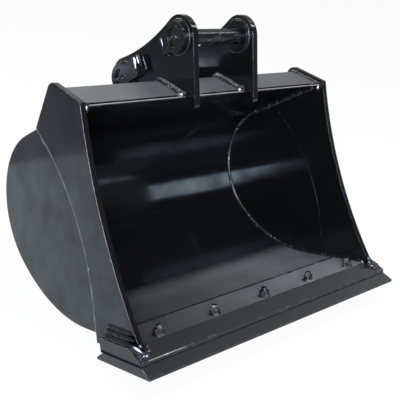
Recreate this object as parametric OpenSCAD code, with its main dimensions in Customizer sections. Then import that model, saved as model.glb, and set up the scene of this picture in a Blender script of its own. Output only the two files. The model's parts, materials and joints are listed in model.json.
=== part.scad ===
// Ditch-cleaning excavator bucket with a double-bevelled bolt-on edge.
// X runs across the bucket, the mouth faces -Y and Z is up, with the bucket lying at rest on its
// cutting edge's heel and its belly. The origin is the middle of the front hinge pin.
// Profiles are drawn in the edge's own plane as [y, z]: y runs rearward from the edge's front
// corner and z rises square to the edge's underside.

/* [Overall] */
// Width of the lip and of the bolt-on edge
edge_w = 900; // [780:1:1100]
// Width over the outside of the two cheek plates
shell_w = 862; // [740:1:1060]

/* [Bolt-on edge] */
// Depth of the edge from its front corner to its heel
edge_depth = 203; // [190:1:220]
// Thickness of the edge
edge_t = 25; // [20:1:32]
// Length of the bevel along the front and the heel
edge_bevel = 32; // [20:1:45]
// Height left under each bevel
edge_nose = 6; // [3:0.5:9]

/* [Edge bolts] */
// Number of plow bolts along the edge
bolt_count = 5; // [3:1:7]
// Distance from one bolt to the next
bolt_pitch = 176; // [100:1:190]
// Distance from the edge's front corner to the row of bolts
bolt_y = 85; // [84:0.5:110]
// Thread diameter of the plow bolts
bolt_d = 16; // [12:1:20]
// Diameter of the countersunk bolt head
bolt_head_d = 32; // [28:0.5:40]
// Gap between a bolt head's face and the edge's underside
bolt_recess = 1; // [0.5:0.1:2]
// Diametral clearance of the bolt holes
bolt_clearance = 1.5; // [0.5:0.1:3]
// Width across the flats of the nuts
nut_af = 24; // [24:0.5:30]
// Height of the nuts
nut_h = 13; // [8:0.5:18]
// Outside diameter of the washers
washer_d = 30; // [28:0.5:36]
// Thickness of the washers
washer_t = 3; // [2:0.5:5]
// Length of thread that stands out of a nut
stud_end = 9; // [3:0.5:14]

/* [Lip] */
// Thickness of the lip plate
lip_t = 32; // [25:1:40]
// Distance from the edge's front corner to the lip's nose
lip_front = 28; // [26:1:34]
// Distance from the edge's front corner to the lip's rear face
lip_rear = 185; // [170:1:200]
// Length of the bevel on top of the lip's nose
lip_bevel = 40; // [36:1:42]
// Height of the lip's blunt nose
lip_nose = 8; // [4:0.5:14]

/* [Wrapper] */
// Thickness of the rolled wrapper plate
wrapper_t = 8; // [6:0.5:12]
// Distance from the edge's front corner to the start of the belly's curve
belly_start = 282; // [260:1:300]
// Inside radius of the belly
belly_r = 400; // [370:1:430]
// Angle through which the belly is rolled
belly_arc = 48; // [42:1:54]
// Inside radius of the back
back_r = 198; // [180:1:215]
// Slope of the flat roof towards the mouth
roof_slope = 15; // [12:0.5:18]

/* [Side plates] */
// Thickness of the front cheek plates
cheek_t = 15; // [12:0.5:20]
// Thickness of the rear side plates
side_t = 8; // [6:0.5:10]
// Foot of the cheek's front edge on the lip, from the edge's front corner
mouth_foot = 48; // [40:1:60]
// Top front corner of the cheek, from the edge's front corner
mouth_top_y = 194; // [184:1:204]
// Top front corner of the cheek, above the edge's underside
mouth_top_z = 597; // [590:1:606]
// Hollow of the cheek's front edge
mouth_bow = 32; // [10:1:45]
// Slope of the horn's top edge
horn_slope = 24.5; // [22:0.5:27]
// Slope of the horn's rear edge
horn_back = 50; // [46:0.5:56]
// Radius of the horn's tip
horn_r = 26; // [15:1:34]
// Foot of the horn's rear edge on the roof, from the edge's front corner
notch_y = 409; // [400:1:420]
// Lower straight stretch of the seam, from the edge's front corner
seam_y = 229; // [220:1:240]
// Height at which the seam starts to curve
seam_z = 130; // [110:1:160]
// Height of the cheek's toe behind the lip
toe_z = 28; // [25:0.5:40]

/* [Torque box] */
// Thickness of the folded box plate
box_t = 10; // [8:0.5:12]
// Distance of the box plate inside the horn's edges
box_inset = 12; // [6:0.5:16]
// Front edge of the box plate, from the edge's front corner
box_front = 204; // [200:0.5:212]
// Inside radius of the fold
box_fold_r = 10; // [6:0.5:14]

/* [Ears] */
// Distance between the ears
ear_gap = 190; // [160:1:260]
// Thickness of the ears
ear_t = 18; // [16:1:25]
// Radius of the ears round the pins
lobe_r = 56; // [52:0.5:60]
// Radius of the hollow between the lobes
saddle_r = 575; // [450:5:900]
// Front edge of the ear's nose, from the edge's front corner
nose_y = 173; // [165:1:180]
// Drop of the nose below the box plate's front edge
nose_drop = 34; // [22:1:40]
// Radius of the nose's lower corner
nose_r = 14; // [6:1:16]
// Foot of the ear's rear edge on the roof, from the edge's front corner
ear_foot_y = 470; // [455:1:480]

/* [Pins] */
// Diameter of the hinge pins
pin_d = 40; // [35:1:45]
// Radial running clearance of the pins in their bosses
pin_clearance = 0.05; // [0.02:0.01:0.09]
// Front pin, from the edge's front corner
front_pin_y = 215; // [208:1:220]
// Front pin, above the edge's underside
front_pin_z = 736; // [725:1:750]
// Rear pin, from the edge's front corner
rear_pin_y = 463; // [452:1:468]
// Rear pin, above the edge's underside
rear_pin_z = 650; // [645:1:660]
// Outside diameter of the bosses
boss_d = 84; // [70:1:90]
// Length by which the bosses stand in from the ears
boss_in = 8; // [4:0.5:14]
// Length by which a boss stands out under a pin's head
boss_seat = 4; // [2:0.5:8]
// Length by which a boss stands out on the retainer's side
boss_out = 10; // [4:0.5:16]
// Radius of the pins' heads
head_r = 40; // [38:0.5:46]
// Thickness of the pins' heads
head_t = 12; // [8:0.5:16]
// Gap between moving pieces and the faces that they rest on
seat_gap = 0.3; // [0.2:0.05:0.6]
// Width of the flag on each head
flag_w = 48; // [36:1:60]
// Reach of the front pin's flag from the pin's axis
front_flag = 46; // [44:0.5:56]
// Diameter of the recess in each head
recess_d = 50; // [42:0.5:58]
// Depth of the recess in each head
recess_depth = 6; // [3:0.5:9]
// Width of the dust-ring grooves round a pin
groove_w = 3; // [2:0.5:5]
// Depth of the dust-ring grooves
groove_depth = 1; // [0.5:0.1:2]

/* [Pin stops and retainers] */
// Length of both stop bars
stop_len = 47; // [36:1:60]
// Section of the front pin's square stop bar
front_stop_s = 14; // [10:0.5:18]
// Diameter of the rear pin's round stop bar
rear_stop_d = 28; // [20:0.5:32]
// Axis of the round stop bar, from the rear pin's axis
rear_stop_at = 95; // [84:0.5:104]
// Diameter of the retainer plates
retainer_d = 66; // [54:1:74]
// Thickness of the retainer plates
retainer_t = 8; // [5:0.5:12]
// Thread diameter of the retainer bolts
retainer_bolt_d = 14; // [10:1:16]
// Length of the retainer bolts in the pins
retainer_bolt_len = 34; // [22:1:45]
// Width across the flats of a grease nipple
nipple_af = 11; // [9:0.5:13]

/* [Welds] */
// Leg of the fillets along the seams between cheek and side plate
seam_leg = 9; // [6:0.5:12]
// Leg of the fillets inside the bucket
inner_leg = 7; // [4:0.5:10]
// Leg of the fillets at the ears
ear_leg = 10; // [5:0.5:12]
// Leg of the fillets on the lip's ends
lip_leg = 17; // [10:0.5:18]
// Height of the fillets on the lip's ends
lip_rise = 34; // [16:1:40]

/* [Hidden] */
$fn = 180;
paint = [0.11, 0.115, 0.125];
cheek_paint = [0.17, 0.18, 0.19];
wear_paint = [0.2, 0.205, 0.21];
pin_paint = [0.24, 0.24, 0.235];
weld_paint = [0.15, 0.155, 0.17];
fastener_paint = [0.13, 0.135, 0.145];

// Width between the inner faces of the side plates
inner_w = shell_w - 2 * cheek_t;
lip_top = edge_t + lip_t;
lip_flat = lip_front + lip_bevel;
nose_top = edge_t + lip_nose;
nut_z = lip_top + washer_t;
stud_z = nut_z + nut_h + stud_end;

// Centres of the belly's and the back's arcs
belly_c = [belly_start, lip_top + belly_r];
back_c = belly_c + (belly_r - back_r) * [sin(belly_arc), -cos(belly_arc)];
roof_dir = 180 - roof_slope;
roof_in = back_c + back_r * dir(90 - roof_slope);
roof_out = back_c + (back_r + wrapper_t) * dir(90 - roof_slope);

// Angle of the line from the edge's heel to the belly, which the bucket rests on
heel = [edge_depth, 0];
heel_to_belly = belly_c - heel;
rest_tilt = atan2(heel_to_belly.y, heel_to_belly.x) - asin((belly_r + wrapper_t) / norm(heel_to_belly));

// Corners of the cheek's horn
mouth_top = [mouth_top_y, mouth_top_z];
mouth_bottom = [mouth_foot, nose_top + (mouth_foot - lip_front) * (lip_t - lip_nose) / lip_bevel];
notch = [notch_y, roof_out.y + (roof_out.x - notch_y) * tan(roof_slope)];
horn_tip = meet(mouth_top, horn_slope, notch, 180 - horn_back);

// Arc of the seam, upright at its foot and ending in the notch
seam_run = notch - [seam_y, seam_z];
seam_r = (seam_run.x * seam_run.x + seam_run.y * seam_run.y) / (2 * seam_run.x);
seam_c = [seam_y + seam_r, seam_z];
seam_end = atan2(notch.y - seam_c.y, notch.x - seam_c.x);

// Arc of the cheek's hollow front edge
mouth_chord = mouth_top - mouth_bottom;
mouth_r = norm(mouth_chord) * norm(mouth_chord) / (8 * mouth_bow) + mouth_bow / 2;
mouth_c = (mouth_top + mouth_bottom) / 2 + (mouth_bow - mouth_r) * [mouth_chord.y, -mouth_chord.x] / norm(mouth_chord);

// Lines of the box plate's faces, parallel to the horn's edges
box_top_line = mouth_top - box_inset * dir(horn_slope + 90);
box_back_line = notch - box_inset * dir(90 - horn_back);
box_front_top = box_top_line + (box_front - box_top_line.x) / cos(horn_slope) * dir(horn_slope);
box_fold = meet(box_top_line, horn_slope, box_back_line, 180 - horn_back);
box_foot = meet(box_back_line, 180 - horn_back, roof_out, roof_dir);
box_fold_angle = 180 - horn_slope - horn_back;

// Ears and pins
front_pin_at = [front_pin_y, front_pin_z];
rear_pin_at = [rear_pin_y, rear_pin_z];
pin_line = rear_pin_at - front_pin_at;
pin_dir = atan2(pin_line.y, pin_line.x);
saddle_rise = sqrt(pow(lobe_r + saddle_r, 2) - pow(norm(pin_line) / 2, 2));
saddle_c = (front_pin_at + rear_pin_at) / 2 + saddle_rise * dir(pin_dir + 90);
ear_in = ear_gap / 2;
ear_out = ear_in + ear_t;
pin_end = ear_out + boss_out;
pin_head = -ear_out - boss_seat - seat_gap;
bore_r = pin_d / 2 + pin_clearance;
nose_bottom = box_front_top.y - nose_drop;
ear_foot = [ear_foot_y, roof_out.y + (roof_out.x - ear_foot_y) * tan(roof_slope)];

// Reach of a cutting shape past the plates that it cuts
past = 60;
// Overlap of an arc with the straight edges that it joins, in degrees and in millimetres
arc_lap = 0.2;
blend = 0.02;

function dir(a) = [cos(a), sin(a)];

// Point where the line through p at angle a meets the line through q at angle b
function meet(p, a, q, b) =
    let (d = dir(a), e = dir(b), w = q - p)
    p + (w.x * e.y - w.y * e.x) / (d.x * e.y - d.y * e.x) * d;

// Point where a line from p touches the circle of radius r round c, on its left (1) or right (-1)
function touch(p, c, r, side) =
    let (v = c - p, d = norm(v))
    p + sqrt(d * d - r * r) * dir(atan2(v.y, v.x) + side * asin(r / d));

// Turns the edge's plane to the pose at rest, with the front pin at the origin
module at_rest() {
    rotate([-rest_tilt, 0, 0])
        translate([0, -front_pin_y, -front_pin_z])
            children();
}

// Plate from x0 to x1 with a [y, z] outline
module plate(x0, x1) {
    translate([x0, 0, 0])
        rotate([90, 0, 90])
            linear_extrude(x1 - x0)
                children();
}

// Solid turned about an axis along X through the [y, z] point c, from angle a0 to a1.
// Its outline is drawn as [radius, x].
module turned(c, a0 = 0, a1 = 360) {
    translate([0, c.x, c.y])
        rotate([90, 0, 90])
            rotate([0, 0, a0])
                rotate_extrude(angle = a1 - a0)
                    children();
}

// Round bar along X from x0 to x1 at the [y, z] point c
module bar(c, d, x0, x1) {
    translate([x0, c.x, c.y])
        rotate([0, 90, 0])
            cylinder(d = d, h = x1 - x0);
}

module mirrored(side) {
    mirror([side < 0 ? 1 : 0, 0, 0])
        children();
}

module sector(c, r, a0, a1) {
    far = 3 * r;
    intersection() {
        translate(c)
            circle(r);
        polygon([c, c + far * dir(a0), c + far * dir((a0 + a1) / 2), c + far * dir(a1)]);
    }
}

// Block from x0 to x1 that fills the wrapper, out to t past its inner face and forward by extra
module shell_block(x0, x1, t, extra) {
    roof_end = back_c + (back_r + t) * dir(90 - roof_slope);
    roof_front = roof_end + ((roof_end.x - box_front) / cos(roof_slope) + extra) * dir(roof_dir);
    belly_end = belly_c + (belly_r + t) * dir(belly_arc - 90);
    plate(x0, x1)
        sector(belly_c, belly_r + t, -90 - arc_lap, belly_arc - 90 + arc_lap);
    plate(x0, x1)
        sector(back_c, back_r + t, belly_arc - 90 - arc_lap, 90 - roof_slope + arc_lap);
    plate(x0, x1)
        polygon([[lip_rear - extra, lip_top - t], [belly_start, lip_top - t], belly_end, roof_end, roof_front]);
}

// Block from x0 to x1 that fills the torque box, up to inset below its top face and forward by extra
module box_block(x0, x1, inset, extra) {
    r = max(box_t + box_fold_r - inset, blend);
    top = box_front_top - inset * dir(horn_slope + 90) - extra * dir(horn_slope);
    back_line = box_foot - inset * dir(90 - horn_back);
    fold = meet(top, horn_slope, back_line, 180 - horn_back);
    reach = r / tan(box_fold_angle / 2);
    plate(x0, x1)
        translate(fold - r / sin(box_fold_angle / 2) * dir(90 + (horn_slope - horn_back) / 2))
            circle(r + blend);
    plate(x0, x1)
        polygon([top, fold - reach * dir(horn_slope), fold - reach * dir(180 - horn_back),
                 back_line - past * dir(180 - horn_back), top - past * dir(horn_slope + 90)]);
}

// Everything above the underside of the box plate's front leg
module above_box() {
    rise = 2 * past * dir(horn_slope + 90);
    start = box_front_top - box_t * dir(horn_slope + 90) - past * dir(horn_slope);
    end = box_fold - box_t * dir(horn_slope + 90);
    plate(-shell_w / 2, shell_w / 2)
        polygon([start, end, end + rise, start + rise]);
}

module wrapper() {
    wall = inner_w / 2;
    color(paint)
        at_rest()
            difference() {
                shell_block(-wall, wall, wrapper_t, 0);
                shell_block(-wall - past, wall + past, 0, past);
                above_box();
            }
}

module bolt_places() {
    for (i = [0 : bolt_count - 1])
        translate([(i - (bolt_count - 1) / 2) * bolt_pitch, bolt_y, 0])
            children();
}

module lip_plate() {
    color(wear_paint)
        at_rest()
            difference() {
                plate(-edge_w / 2, edge_w / 2)
                    polygon([[lip_front, edge_t], [lip_rear, edge_t], [lip_rear, lip_top],
                             [lip_flat, lip_top], [lip_front, nose_top]]);
                bolt_places()
                    translate([0, 0, edge_t - 1])
                        cylinder(d = bolt_d + bolt_clearance, h = lip_t + 2);
            }
}

// Countersunk head with its square neck, grown by gap on every side
module bolt_head(gap) {
    neck = bolt_d + 2 * gap;
    cone_h = (bolt_head_d - bolt_d) / 2;
    translate([0, 0, bolt_recess])
        cylinder(d1 = bolt_head_d + 2 * gap, d2 = neck, h = cone_h);
    translate([-neck / 2, -neck / 2, bolt_recess + cone_h / 2])
        cube([neck, neck, edge_t - bolt_recess - cone_h / 2 - 1 + gap]);
}

module bolt_on_edge() {
    gap = bolt_clearance / 2;
    color(wear_paint)
        at_rest()
            difference() {
                plate(-edge_w / 2, edge_w / 2)
                    polygon([[0, 0], [edge_depth, 0], [edge_depth, edge_nose], [edge_depth - edge_bevel, edge_t],
                             [edge_bevel, edge_t], [0, edge_nose]]);
                bolt_places() {
                    bolt_head(gap);
                    translate([0, 0, -1])
                        cylinder(d = bolt_head_d + 2 * gap, h = bolt_recess + 1);
                    translate([0, 0, edge_t / 2])
                        cylinder(d = bolt_d + 2 * gap, h = edge_t);
                }
            }
}

module plow_bolts() {
    color(fastener_paint)
        at_rest()
            bolt_places() {
                bolt_head(0);
                translate([0, 0, edge_t / 2])
                    cylinder(d = bolt_d, h = stud_z - edge_t / 2 - 1);
                translate([0, 0, stud_z - 1])
                    cylinder(d1 = bolt_d, d2 = bolt_d - 2, h = 1);
            }
}

module edge_washers() {
    color(fastener_paint)
        at_rest()
            bolt_places()
                difference() {
                    translate([0, 0, lip_top])
                        cylinder(d = washer_d, h = washer_t);
                    translate([0, 0, lip_top - 1])
                        cylinder(d = bolt_d + bolt_clearance, h = washer_t + 2);
                }
}

// Hexagonal prism whose corners are turned off at the top
module hexagon(af, h) {
    corner = af / cos(30);
    bevel = (corner - af) / 2;
    intersection() {
        cylinder(d = corner, h = h, $fn = 6);
        union() {
            cylinder(d = corner + 1, h = h - bevel / 2);
            translate([0, 0, h - bevel / 2])
                cylinder(d1 = corner + 1, d2 = corner + 1 - 4 * bevel, h = bevel);
        }
    }
}

module edge_nuts() {
    color(fastener_paint)
        at_rest()
            bolt_places()
                translate([0, 0, nut_z])
                    difference() {
                        hexagon(nut_af, nut_h);
                        translate([0, 0, -1])
                            cylinder(d = bolt_d + 0.1, h = nut_h + 2);
                    }
}

// Cheek with its horn, hollow front edge, curved seam edge and toe behind the lip
module cheek_plate(side) {
    x0 = inner_w / 2;
    x1 = shell_w / 2;
    tip_angle = 180 - horn_slope - horn_back;
    tip_reach = horn_r / tan(tip_angle / 2);
    color(cheek_paint)
        at_rest()
            mirrored(side)
                difference() {
                    union() {
                        plate(x0, x1)
                            translate(horn_tip - horn_r / sin(tip_angle / 2) * dir(90 + (horn_slope - horn_back) / 2))
                                circle(horn_r + blend);
                        plate(x0, x1)
                            polygon([mouth_bottom, mouth_top, horn_tip - tip_reach * dir(horn_slope),
                                     horn_tip - tip_reach * dir(180 - horn_back), notch, [seam_y, seam_z],
                                     [seam_y, toe_z], [lip_rear, toe_z], [lip_rear, lip_top],
                                     [lip_flat, lip_top]]);
                    }
                    bar(mouth_c, 2 * mouth_r, x0 - 1, x1 + 1);
                    bar(seam_c, 2 * seam_r, x0 - 1, x1 + 1);
                }
}

module left_cheek_plate() cheek_plate(-1);
module right_cheek_plate() cheek_plate(1);

module side_plate(side) {
    x0 = inner_w / 2;
    x1 = x0 + side_t;
    color(cheek_paint)
        at_rest()
            mirrored(side)
                intersection() {
                    shell_block(x0, x1, wrapper_t, 0);
                    union() {
                        bar(seam_c, 2 * seam_r, x0 - 1, x1 + 1);
                        plate(x0 - 1, x1 + 1)
                            translate([seam_y, 0])
                                square([seam_r, seam_z]);
                    }
                }
}

module left_side_plate() side_plate(-1);
module right_side_plate() side_plate(1);

module torque_box_plate() {
    wall = inner_w / 2;
    color(paint)
        at_rest()
            difference() {
                box_block(-wall, wall, 0, 0);
                box_block(-wall - past, wall + past, box_t, past);
                shell_block(-wall - past, wall + past, wrapper_t, past);
            }
}

// Ear with two lobes, a hollow top edge, a nose before the box plate and a foot on the roof
module ear(side) {
    nose = [nose_y, nose_bottom + nose_r];
    color(paint)
        at_rest()
            mirrored(side)
                difference() {
                    union() {
                        for (at = [front_pin_at, rear_pin_at])
                            bar(at, 2 * (lobe_r + blend), ear_in, ear_out);
                        bar(nose + [nose_r, 0], 2 * (nose_r + blend), ear_in, ear_out);
                        plate(ear_in, ear_out)
                            polygon([nose, touch(nose, front_pin_at, lobe_r, 1), front_pin_at,
                                     front_pin_at + lobe_r * (saddle_c - front_pin_at) / norm(saddle_c - front_pin_at),
                                     rear_pin_at + lobe_r * (saddle_c - rear_pin_at) / norm(saddle_c - rear_pin_at),
                                     rear_pin_at, touch(ear_foot, rear_pin_at, lobe_r, -1), ear_foot,
                                     [box_front + past, nose_bottom], [nose_y + nose_r, nose_bottom]]);
                    }
                    bar(saddle_c, 2 * saddle_r, ear_in - 1, ear_out + 1);
                    box_block(ear_in - 1, ear_out + 1, 0, 0);
                    shell_block(ear_in - 1, ear_out + 1, wrapper_t, 0);
                    for (at = [front_pin_at, rear_pin_at])
                        bar(at, boss_d, ear_in - 1, ear_out + 1);
                }
}

module left_ear() ear(-1);
module right_ear() ear(1);

// Boss through an ear, proud inside, under a pin's head and under a retainer
module boss(at, side) {
    color(paint)
        at_rest()
            mirrored(side)
                difference() {
                    bar(at, boss_d, ear_in - boss_in, side < 0 ? ear_out + boss_seat : pin_end);
                    bar(at, 2 * bore_r, ear_in - boss_in - 1, pin_end + 1);
                }
}

module left_front_boss() boss(front_pin_at, -1);
module right_front_boss() boss(front_pin_at, 1);
module left_rear_boss() boss(rear_pin_at, -1);
module right_rear_boss() boss(rear_pin_at, 1);

// Pin with a flagged head, a recess for its nipple, dust-ring grooves and a tapped end
module pin(at, towards, flag) {
    groove_x = ear_in - boss_in - groove_w;
    color(pin_paint)
        at_rest()
            difference() {
                union() {
                    bar(at, pin_d, pin_head - 1, pin_end - pin_d / 20);
                    translate([pin_end - pin_d / 20, at.x, at.y])
                        rotate([0, 90, 0])
                            cylinder(d1 = pin_d, d2 = pin_d * 0.9, h = pin_d / 20);
                    bar(at, 2 * head_r, pin_head - head_t, pin_head);
                    plate(pin_head - head_t, pin_head)
                        translate(at)
                            rotate(towards)
                                translate([0, -flag_w / 2])
                                    square([flag, flag_w]);
                }
                bar(at, recess_d, pin_head - head_t - 1, pin_head - head_t + recess_depth);
                bar(at, nipple_af * 0.6, pin_head - head_t, pin_head);
                bar(at, retainer_bolt_d, pin_end - retainer_bolt_len, pin_end + 1);
                for (x = [-groove_x - groove_w, groove_x])
                    turned(at)
                        translate([pin_d / 2 - groove_depth, x])
                            square([groove_depth + 1, groove_w]);
            }
}

module front_pin() pin(front_pin_at, pin_dir, front_flag);
module rear_pin() pin(rear_pin_at, pin_dir + 180, rear_stop_at - rear_stop_d / 2 - seat_gap);

module grease_nipple(at) {
    seat_x = pin_head - head_t + recess_depth;
    color(fastener_paint)
        at_rest()
            translate([seat_x, at.x, at.y])
                rotate([0, -90, 0]) {
                    hexagon(nipple_af, nipple_af * 0.4);
                    cylinder(d = nipple_af * 0.5, h = nipple_af * 0.9);
                    translate([0, 0, nipple_af * 0.9])
                        sphere(d = nipple_af * 0.62);
                    rotate([180, 0, 0])
                        cylinder(d = nipple_af * 0.6, h = head_t - recess_depth);
                }
}

module front_grease_nipple() grease_nipple(front_pin_at);
module rear_grease_nipple() grease_nipple(rear_pin_at);

// Square bar on the left ear behind the front pin's flag
module front_pin_stop() {
    color(paint)
        at_rest()
            plate(-ear_out - front_stop_s, -ear_out)
                translate(front_pin_at)
                    rotate(pin_dir)
                        translate([front_flag + seat_gap, -stop_len / 2])
                            square([front_stop_s, stop_len]);
}

// Round bar on the left ear before the rear pin's flag, with a flat where it is welded down
module rear_pin_stop() {
    weld_flat = rear_stop_d / 14;
    color(paint)
        at_rest()
            difference() {
                translate([-ear_out - rear_stop_d / 2 + weld_flat, rear_pin_y, rear_pin_z])
                    rotate([pin_dir + 180, 0, 0])
                        translate([0, rear_stop_at, 0])
                            cylinder(d = rear_stop_d, h = stop_len, center = true);
                plate(-ear_out, -ear_out + past)
                    translate(rear_pin_at - [2 * past, 2 * past])
                        square(4 * past);
            }
}

module retainer_plate(at) {
    color(paint)
        at_rest()
            difference() {
                bar(at, retainer_d, pin_end + seat_gap, pin_end + seat_gap + retainer_t);
                bar(at, retainer_bolt_d + bolt_clearance, pin_end, pin_end + 2 * retainer_t);
            }
}

module front_retainer_plate() retainer_plate(front_pin_at);
module rear_retainer_plate() retainer_plate(rear_pin_at);

module retainer_bolt(at) {
    head_x = pin_end + seat_gap + retainer_t;
    tip_x = pin_end - retainer_bolt_len + 2;
    color(fastener_paint)
        at_rest() {
            bar(at, retainer_bolt_d - 0.1, tip_x, head_x);
            translate([head_x, at.x, at.y])
                rotate([0, 90, 0])
                    hexagon(retainer_bolt_d * 1.5, retainer_bolt_d * 0.62);
        }
}

module front_retainer_bolt() retainer_bolt(front_pin_at);
module rear_retainer_bolt() retainer_bolt(rear_pin_at);

// Fillet in the step between the thick cheek and the thin side plate
module seam_weld(side) {
    face = inner_w / 2 + side_t;
    rise = cheek_t - side_t;
    foot_z = lip_top - wrapper_t;
    color(weld_paint)
        at_rest()
            mirrored(side) {
                turned(seam_c, seam_end, 180)
                    polygon([[seam_r, face], [seam_r, face + rise], [seam_r - seam_leg, face]]);
                translate([0, seam_y, foot_z])
                    linear_extrude(seam_z - foot_z)
                        polygon([[face, 0], [face + rise, 0], [face, seam_leg]]);
            }
}

module left_seam_weld() seam_weld(-1);
module right_seam_weld() seam_weld(1);

// Fillet inside the bucket, along the lip, the belly, the back and the roof
module inner_weld(side) {
    wall = inner_w / 2;
    start = lip_flat + inner_leg;
    roof_front = meet(box_front_top - (box_t + inner_leg) * dir(horn_slope + 90), horn_slope,
                      roof_in, roof_dir);
    color(weld_paint)
        at_rest()
            mirrored(side) {
                translate([0, start, lip_top])
                    rotate([-90, 0, 0])
                        linear_extrude(belly_start - start)
                            polygon([[wall, 0], [wall - inner_leg, 0], [wall, -inner_leg]]);
                turned(belly_c, -90, belly_arc - 90)
                    polygon([[belly_r, wall], [belly_r, wall - inner_leg], [belly_r - inner_leg, wall]]);
                turned(back_c, belly_arc - 90, 90 - roof_slope)
                    polygon([[back_r, wall], [back_r, wall - inner_leg], [back_r - inner_leg, wall]]);
                translate([0, roof_in.x, roof_in.y])
                    rotate([90 - roof_slope, 0, 0])
                        linear_extrude(norm(roof_front - roof_in))
                            polygon([[wall, 0], [wall - inner_leg, 0], [wall, -inner_leg]]);
            }
}

module left_inner_weld() inner_weld(-1);
module right_inner_weld() inner_weld(1);

// Fillets along both faces of each ear on the box plate's front leg
module ear_welds() {
    fold_reach = (box_t + box_fold_r) / tan(box_fold_angle / 2);
    run = norm(box_fold - box_front_top) - fold_reach;
    color(weld_paint)
        at_rest()
            for (face = [[-ear_out, -1], [-ear_in, 1], [ear_in, -1], [ear_out, 1]])
                translate([face[0], box_front_top.x, box_front_top.y])
                    rotate([horn_slope, 0, 0])
                        rotate([-90, 0, 0])
                            linear_extrude(run)
                                polygon([[0, 0], [face[1] * ear_leg, 0], [0, -ear_leg]]);
}

// Fillets between the cheeks and the lip's ends
module lip_end_welds() {
    start = max(mouth_foot + lip_leg, lip_flat);
    color(weld_paint)
        at_rest()
            for (side = [-1, 1])
                mirrored(side)
                    translate([shell_w / 2, start, lip_top])
                        rotate([-90, 0, 0])
                            linear_extrude(lip_rear - start)
                                polygon([[0, 0], [lip_leg, 0], [0, -lip_rise]]);
}

wrapper();
lip_plate();
bolt_on_edge();
left_cheek_plate();
right_cheek_plate();
left_side_plate();
right_side_plate();
torque_box_plate();
left_ear();
right_ear();
left_front_boss();
right_front_boss();
left_rear_boss();
right_rear_boss();
front_pin();
rear_pin();
front_grease_nipple();
rear_grease_nipple();
front_pin_stop();
rear_pin_stop();
front_retainer_plate();
rear_retainer_plate();
front_retainer_bolt();
rear_retainer_bolt();
plow_bolts();
edge_washers();
edge_nuts();
left_seam_weld();
right_seam_weld();
left_inner_weld();
right_inner_weld();
ear_welds();
lip_end_welds();
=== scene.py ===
import json
import math
import bmesh
import bpy
from mathutils import Euler, Matrix, Vector, noise


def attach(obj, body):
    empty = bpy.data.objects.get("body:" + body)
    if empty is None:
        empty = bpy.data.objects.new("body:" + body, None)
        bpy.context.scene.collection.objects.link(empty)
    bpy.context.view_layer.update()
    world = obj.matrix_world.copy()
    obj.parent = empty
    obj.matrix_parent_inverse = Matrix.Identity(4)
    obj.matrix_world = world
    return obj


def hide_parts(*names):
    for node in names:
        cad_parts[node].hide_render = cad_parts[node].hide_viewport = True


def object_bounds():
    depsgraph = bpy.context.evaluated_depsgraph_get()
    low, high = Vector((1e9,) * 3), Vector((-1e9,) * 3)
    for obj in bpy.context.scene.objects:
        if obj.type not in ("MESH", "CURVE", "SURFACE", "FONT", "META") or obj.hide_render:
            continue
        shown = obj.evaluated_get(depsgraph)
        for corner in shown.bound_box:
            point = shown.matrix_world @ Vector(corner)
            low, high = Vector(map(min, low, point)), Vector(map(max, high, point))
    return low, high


bl_info = {
    "name": "Ditch-cleaning bucket",
    "version": (1, 0, 0),
    "blender": (4, 5, 0),
    "location": "View3D > Sidebar > Bucket",
    "description": "Dresses the packed bucket with enamel, weld beads, threaded bolts and a studio",
    "category": "Object",
}

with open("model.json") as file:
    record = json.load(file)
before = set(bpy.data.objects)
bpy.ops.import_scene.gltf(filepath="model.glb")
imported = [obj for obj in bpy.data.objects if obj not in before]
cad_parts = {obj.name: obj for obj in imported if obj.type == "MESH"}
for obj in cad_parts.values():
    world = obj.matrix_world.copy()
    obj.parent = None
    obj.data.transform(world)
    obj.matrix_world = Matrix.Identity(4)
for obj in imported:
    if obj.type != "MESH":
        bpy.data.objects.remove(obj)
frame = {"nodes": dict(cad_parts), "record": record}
CAD_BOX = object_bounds()
RECORD = frame["record"]
SLOT_OF = {part["node"]: part["material_slot"] for part in RECORD["subparts"]}
COLOUR_OF = {m["slot"]: tuple(m["base_color"]) for m in RECORD["materials"]}
MOUNTS = {mount["name"]: mount for mount in RECORD["mounts"]}

# Sizes of the bucket in millimetres, in the edge's own plane as y and z
EDGE_T = 25
EDGE_BEVEL = 32
EDGE_NOSE = 6
EDGE_END = 450
LIP_FRONT = 28
LIP_FLAT = 68
LIP_REAR = 185
LIP_NOSE = 33
LIP_TOP = 57
LIP_WELD_RISE = 34
SHELL = 431
WALL = 416
SIDE_FACE = 424
WRAPPER_T = 8
BELLY_R = 400
BELLY_ARC = 48
BACK_R = 198
ROOF_SLOPE = 15
MOUTH_FOOT = 48
MOUTH_TOP = Vector((194, 597))
HORN_SLOPE = 24.5
HORN_BACK = 50
NOTCH_Y = 409
SEAM_Y = 229
SEAM_Z = 130
BOX_T = 10
BOX_INSET = 12
BOX_LEG = 7
BOX_FRONT = 204
BOX_FOLD_R = 20
EAR_IN = 95
EAR_OUT = 113
EAR_FOOT_Y = 470
FRONT_PIN = Vector((215, 736))
REAR_PIN = Vector((463, 650))
BOSS_R = 42
STOP_LEN = 47
FRONT_FLAG = 46.3
FRONT_STOP = 14
REAR_STOP_AT = 95
REAR_STOP_R = 14
BOLT_Y = 85
BOLT_PITCH = 176
BOLT_R = 8
BOLT_HEAD_R = 16
BOLT_RECESS = 1
NUT_AF = 24
NUT_H = 13
NUT_Z = 60
STUD_Z = 82
NUT_TURNS = (-122, -133, -138, -112, -150)


def ray(angle):
    """Unit vector at an angle in degrees."""
    return Vector((math.cos(math.radians(angle)), math.sin(math.radians(angle))))


def meet(p, a, q, b):
    """Point where the line through p at angle a meets the line through q at angle b."""
    d = ray(a)
    e = ray(b)
    w = q - p
    return p + (w.x * e.y - w.y * e.x) / (d.x * e.y - d.y * e.x) * d


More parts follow.
